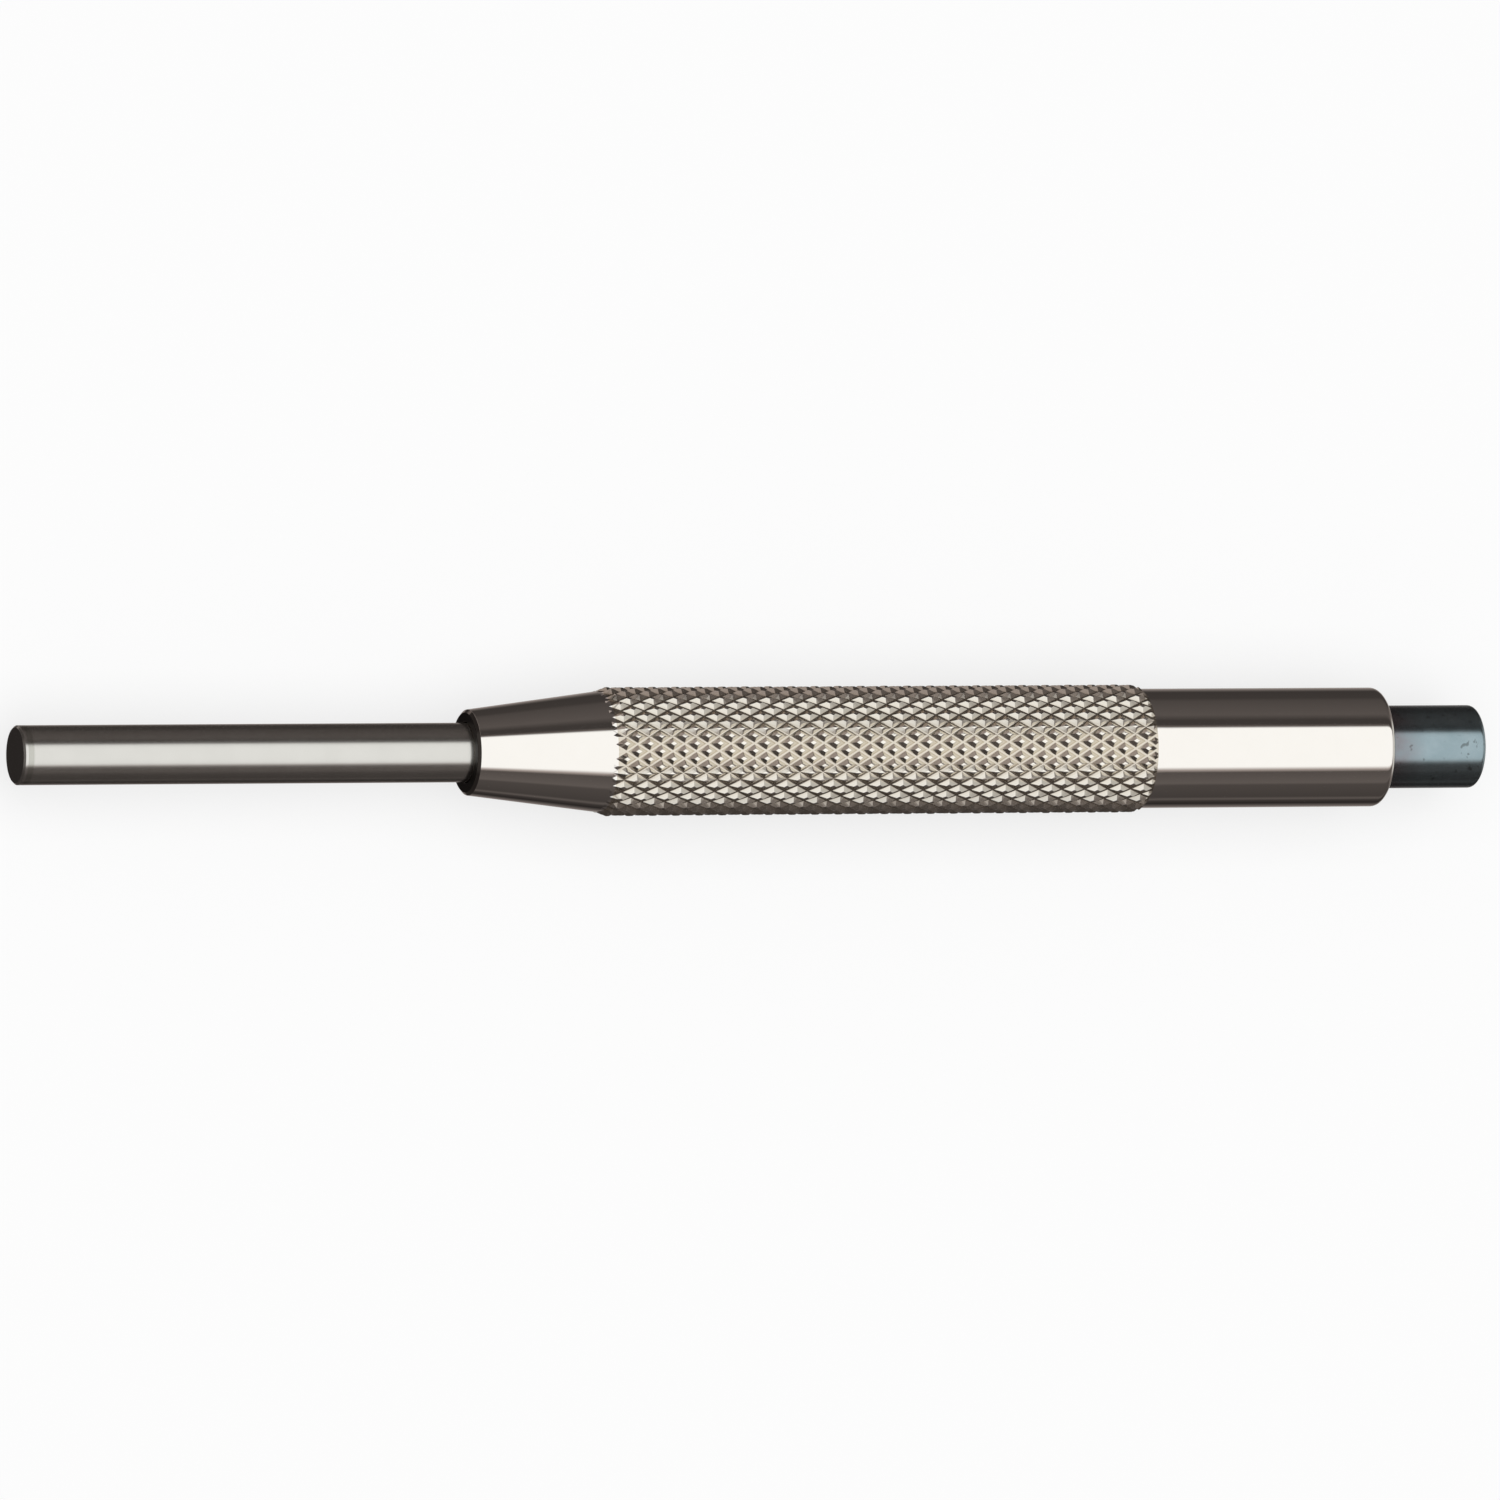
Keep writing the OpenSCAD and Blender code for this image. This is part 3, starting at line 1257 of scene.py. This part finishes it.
@dataclass
class LightTent:
    """The tent that the metal reflects: a long bright window overhead between dark panels.

    Only glossy rays see it. Its parts are bounded by the direction from the tool, as X and Y of a unit vector, and by
    the angle round the tool's axis as a share of half a turn, from 0 straight up to 1 straight down. Each fade is a
    smooth step from none at its first value to full at its second.

    Attributes:
        layout: places of the solids.
        radius: radius of the tent.
        far_panel: (degrees round the axis, brightness) stops on the +Y side.
        near_panel: the same on the -Y side.
        window_level: brightness above which a stop belongs to the window and takes no tint.
        tint: colour of the panels.
        floor: colour of the tent's lower half towards the tip.
        floor_x: place along the tool in front of which that colour shows.
        card: colour of a card on the +Y side, which only the knurl's flanks reflect.
        card_x: fades of the card's front and rear ends.
        card_angle: fades of its upper and lower edges.
        head_middle: colour straight beyond the tool's head.
        head_side: colour to the sides of that.
        head_x: fade of the tent's part beyond the head.
        head_core: fade between its middle and its sides.
        head_angle: fade between straight above the middle and its sides.
        under: colour of a strip below the head.
        under_x: place along the tool behind which that strip shows.
        under_angle: fade of that strip's edge.
        tip_end: colour straight in front of the tip.
        tip_x: fade of that part.
        front_share: brightness that is left on the near side in front of the grip.
        front_x: fade of that dimming along the tool.
        front_y: fade of that dimming across it.
    """

    layout: Layout
    radius: float = 0.6
    far_panel: Stops = (
        (38.0, 1.04),
        (41.5, 0.14),
        (46.0, 0.05),
        (55.0, 0.05),
        (62.0, 0.08),
        (67.0, 0.10),
        (103.0, 0.074),
        (112.0, 0.05),
        (138.0, 0.045),
        (148.0, 0.12),
        (164.0, 0.34),
    )
    near_panel: Stops = (
        (37.0, 1.04),
        (43.0, 0.40),
        (48.0, 0.09),
        (72.0, 0.12),
        (77.0, 0.074),
        (110.0, 0.058),
        (117.0, 0.11),
        (124.0, 0.046),
        (136.0, 0.022),
        (148.0, 0.10),
        (166.0, 0.26),
    )
    window_level: float = 0.9
    tint: Rgb = (1.0, 0.865, 0.82)
    floor: Rgb = (0.065, 0.057, 0.054)
    floor_x: float = -0.05
    card: Rgb = (0.38, 0.3287, 0.3116)
    card_x: tuple[Fade, Fade] = ((-0.42, -0.34), (0.05, 0.0))
    card_angle: tuple[Fade, Fade] = ((0.24, 0.27), (0.86, 0.80))
    head_middle: Rgb = (0.6, 0.588, 0.57)
    head_side: Rgb = (0.17, 0.14705, 0.1394)
    head_x: Fade = (0.76, 0.86)
    head_core: Fade = (0.95, 0.88)
    head_angle: Fade = (0.12, 0.23)
    under: Rgb = (0.42, 0.41, 0.39)
    under_x: float = 0.3
    under_angle: Fade = (0.91, 0.95)
    tip_end: Rgb = (0.13, 0.12, 0.115)
    tip_x: Fade = (-0.84, -0.90)
    front_share: float = 0.82
    front_x: Fade = (0.08, -0.15)
    front_y: Fade = (-0.28, -0.45)

    def build(self) -> None:
        """Adds the tent's shell."""
        bm = bmesh.new()
        bmesh.ops.create_uvsphere(bm, u_segments=64, v_segments=32, radius=self.radius)
        bmesh.ops.translate(bm, vec=(0, 0, self.layout.axis_z), verts=bm.verts[:])
        shell = finish_mesh(bm, "light_tent")
        material = self.material()
        material.cycles.emission_sampling = "NONE"
        shell.data.materials.append(material)
        shell.visible_camera = False
        shell.visible_diffuse = False
        shell.visible_shadow = False
        shell.visible_transmission = False
        shell.visible_volume_scatter = False

    def panel(self, shader: Shader, angle: Socket, stops: Stops) -> Socket:
        """Adds one side's window and panels.

        Args:
            shader: the tree.
            angle: angle round the axis.
            stops: the side's (degrees, brightness) stops.

        Returns:
            The colour's socket.
        """
        node = shader.add("ShaderNodeValToRGB")
        elements = node.color_ramp.elements
        while len(elements) < len(stops):
            elements.new(1.0)
        for element, (degrees, level) in zip(elements, stops):
            element.position = degrees / 180
            tint = (1.0, 1.0, 1.0) if level > self.window_level else self.tint
            element.color = (*(level * shade for shade in tint), 1.0)
        shader.link(angle, node.inputs["Fac"])
        return node.outputs["Color"]

    def mask(self, shader: Shader, *fades: tuple[Socket, Fade]) -> Socket:
        """Adds the product of some fades.

        Args:
            shader: the tree.
            fades: (value, fade) pairs.

        Returns:
            The mask's socket.
        """
        steps = [shader.step(value, begin, end) for value, (begin, end) in fades]
        product = steps[0]
        for step in steps[1:]:
            product = shader.math("MULTIPLY", product, step)
        return product

    def material(self) -> Material:
        """Makes the tent's glow.

        Returns:
            The material.
        """
        material = bpy.data.materials.new("light_tent")
        material.use_nodes = True
        tree = material.node_tree
        tree.nodes.clear()
        shader = Shader(tree)
        centred = shader.add("ShaderNodeVectorMath", operation="SUBTRACT")
        centred.inputs[1].default_value = (0, 0, self.layout.axis_z)
        shader.link(shader.add("ShaderNodeTexCoord").outputs["Object"], centred.inputs[0])
        outward = shader.add("ShaderNodeVectorMath", operation="NORMALIZE")
        shader.link(centred.outputs[0], outward.inputs[0])
        split = shader.add("ShaderNodeSeparateXYZ")
        shader.link(outward.outputs[0], split.inputs[0])
        x, y, z = (split.outputs[name] for name in "XYZ")
        angle = shader.math("DIVIDE", shader.math("ARCTAN2", shader.math("ABSOLUTE", y), z), math.pi)
        dimmed = self.mask(shader, (x, self.front_x), (y, self.front_y))
        glow = shader.add("ShaderNodeEmission")
        shader.link(self.colour(shader, x, y, angle), glow.inputs["Color"])
        shader.link(shader.math("MULTIPLY_ADD", dimmed, self.front_share - 1.0, 1.0), glow.inputs["Strength"])
        output = shader.add("ShaderNodeOutputMaterial")
        shader.link(glow.outputs[0], output.inputs["Surface"])
        return material

    def colour(self, shader: Shader, x: Socket, y: Socket, angle: Socket) -> Socket:
        """Lays the tent's parts over its panels, each over the ones before it.

        Args:
            shader: the tree.
            x: how far the direction points towards the head.
            y: how far it points to the +Y side.
            angle: its angle round the axis.

        Returns:
            The colour's socket.
        """
        far_side = shader.math("GREATER_THAN", y, 0.0)
        near, far = (self.panel(shader, angle, stops) for stops in (self.near_panel, self.far_panel))
        colour = shader.mix(far_side, near, far)
        level = 0.5
        below = shader.math("GREATER_THAN", angle, level)
        forward = shader.math("LESS_THAN", x, self.floor_x)
        colour = shader.mix(shader.math("MULTIPLY", below, forward), colour, self.floor)
        bounds = [(x, fade) for fade in self.card_x] + [(angle, fade) for fade in self.card_angle]
        card = shader.math("MULTIPLY", far_side, self.mask(shader, *bounds))
        colour = shader.mix(card, colour, self.card)
        to_side = self.mask(shader, (angle, self.head_angle), (x, self.head_core))
        head_end = shader.mix(to_side, self.head_middle, self.head_side)
        colour = shader.mix(self.mask(shader, (x, self.head_x)), colour, head_end)
        behind = shader.math("GREATER_THAN", x, self.under_x)
        under = shader.math("MULTIPLY", behind, self.mask(shader, (angle, self.under_angle)))
        colour = shader.mix(under, colour, self.under)
        return shader.mix(self.mask(shader, (x, self.tip_x)), colour, self.tip_end)


@dataclass
class Studio:
    """The world, the soft lamp, the light tent, the floor and the camera.

    Attributes:
        layout: places of the solids.
        tilt: angle of the tool's axis out of the picture plane, tip nearer.
        roll: angle by which the axis rises to the right in the picture.
        focal_px: focal length in pixels of the photograph.
        frame_px: width of the photograph.
        scale_px_per_mm: pixels per millimetre at the middle of the tool.
        aim_shift: how far the camera aims from the middle of the tool's axis, along it and across it.
        sensor_mm: width of the camera's sensor.
        clip: nearest and farthest distance that the camera sees.
        world_fill: strength of the world as fill light.
        lamp_height: height of the soft lamp.
        lamp_size: side of the soft lamp.
        lamp_watts: the lamp's power.
        floor_half: half the floor's side.
        floor_tone: brightness of the floor's surface.
        ground_tone: brightness of the floor's own pale tone.
        ground_share: share of that tone in what the camera sees of the floor.
    """

    layout: Layout
    tilt: float = math.radians(20.2)
    roll: float = math.radians(0.35)
    focal_px: float = 22500.0
    frame_px: float = 1500.0
    scale_px_per_mm: float = 15.207
    aim_shift: tuple[float, float] = (-0.15 * MM, 0.05 * MM)
    sensor_mm: float = 36.0
    clip: tuple[float, float] = (0.01, 20.0)
    world_fill: float = 0.42
    lamp_height: float = 0.8
    lamp_size: float = 1.2
    lamp_watts: float = 6.7
    floor_half: float = 3.0
    floor_tone: float = 0.93
    ground_tone: float = 0.985
    ground_share: float = 0.7

    def build(self) -> None:
        """Adds the camera, the world, the lamp, the light tent and the floor."""
        self.camera()
        self.world()
        self.lamp()
        LightTent(self.layout).build()
        self.floor()

    def camera(self) -> None:
        """Adds the camera above the tool, leaning towards its tip."""
        distance = self.focal_px / self.scale_px_per_mm * MM
        back = Vector((-math.sin(self.tilt), 0, math.cos(self.tilt)))
        right = Vector((math.cos(self.tilt), 0, math.sin(self.tilt)))
        up = Vector((0, 1, 0))
        turn = Matrix.Rotation(-self.roll, 3, back)
        axes = Matrix((turn @ right, turn @ up, back)).transposed().to_4x4()
        data = bpy.data.cameras.new("camera")
        data.lens = self.focal_px / self.frame_px * self.sensor_mm
        data.sensor_width = self.sensor_mm
        data.clip_start, data.clip_end = self.clip
        camera = add_object("camera", data)
        aim = Vector((*self.aim_shift, self.layout.axis_z))
        camera.matrix_world = Matrix.Translation(aim + back * distance) @ axes
        bpy.context.scene.camera = camera

    def world(self) -> None:
        """Adds a white world: full for what the camera and the metal see, lower as fill light."""
        world = bpy.data.worlds.new("white_studio")
        bpy.context.scene.world = world
        world.use_nodes = True
        world.cycles.sampling_method = "NONE"
        shader = Shader(world.node_tree)
        seen = shader.add("ShaderNodeLightPath")
        direct = shader.math("ADD", seen.outputs["Is Camera Ray"], seen.outputs["Is Glossy Ray"])
        direct = shader.math("ADD", direct, seen.outputs["Is Transmission Ray"], clamp=True)
        background = world.node_tree.nodes["Background"]
        background.inputs["Color"].default_value = (1, 1, 1, 1)
        strength = shader.math("MULTIPLY_ADD", direct, 1.0 - self.world_fill, self.world_fill)
        shader.link(strength, background.inputs["Strength"])

    def lamp(self) -> None:
        """Adds the soft lamp overhead, which gives the floor its soft shadow."""
        data = bpy.data.lights.new("soft_lamp", "AREA")
        data.shape = "SQUARE"
        data.size = self.lamp_size
        data.energy = self.lamp_watts
        light = add_object("soft_lamp", data)
        light.location = (0, 0, self.lamp_height)
        light.visible_camera = False
        light.visible_glossy = False

    def floor(self) -> None:
        """Adds the pale floor, which keeps the tool's shadow."""
        bm = bmesh.new()
        bmesh.ops.create_grid(bm, x_segments=1, y_segments=1, size=self.floor_half)
        floor = finish_mesh(bm, "pale_floor")
        material = bpy.data.materials.new("pale_floor")
        material.use_nodes = True
        nodes = material.node_tree.nodes
        principled = nodes["Principled BSDF"]
        principled.inputs["Base Color"].default_value = (self.floor_tone, self.floor_tone, self.floor_tone, 1)
        principled.inputs["Roughness"].default_value = 1.0
        principled.inputs["Specular IOR Level"].default_value = 0.0
        shader = Shader(material.node_tree)
        seen = shader.add("ShaderNodeLightPath").outputs["Is Camera Ray"]
        pale = shader.add("ShaderNodeEmission", Color=(self.ground_tone, self.ground_tone, self.ground_tone, 1))
        blend = shader.add("ShaderNodeMixShader")
        shader.link(shader.math("MULTIPLY", seen, self.ground_share), blend.inputs[0])
        shader.link(principled.outputs[0], blend.inputs[1])
        shader.link(pale.outputs[0], blend.inputs[2])
        shader.link(blend.outputs[0], nodes["Material Output"].inputs["Surface"])
        floor.data.materials.append(material)
        floor.visible_glossy = False


def main() -> None:
    """Loads the frame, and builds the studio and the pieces."""
    logging.basicConfig(level=logging.INFO, format="%(name)s: %(message)s")
    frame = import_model()
    bpy.context.scene.view_settings.view_transform = "Standard"
    layout = Layout(frame["record"]["mounts"][0]["pos_m"][2])
    Studio(layout).build()
    workshop = Workshop(layout)
    pieces: tuple[tuple[Piece, Finish], ...] = (
        (Sleeve(layout), NickelPlate()),
        (DrivePin(layout), GroundSteel()),
        (Striker(layout), BluedSteel()),
        (EndBush(layout), TurnedSteel()),
        (FrictionRing(layout), BlackRubber()),
    )
    for piece, finish in pieces:
        piece.place(piece.build(), finish.material(workshop))


if __name__ == "__main__":
    main()
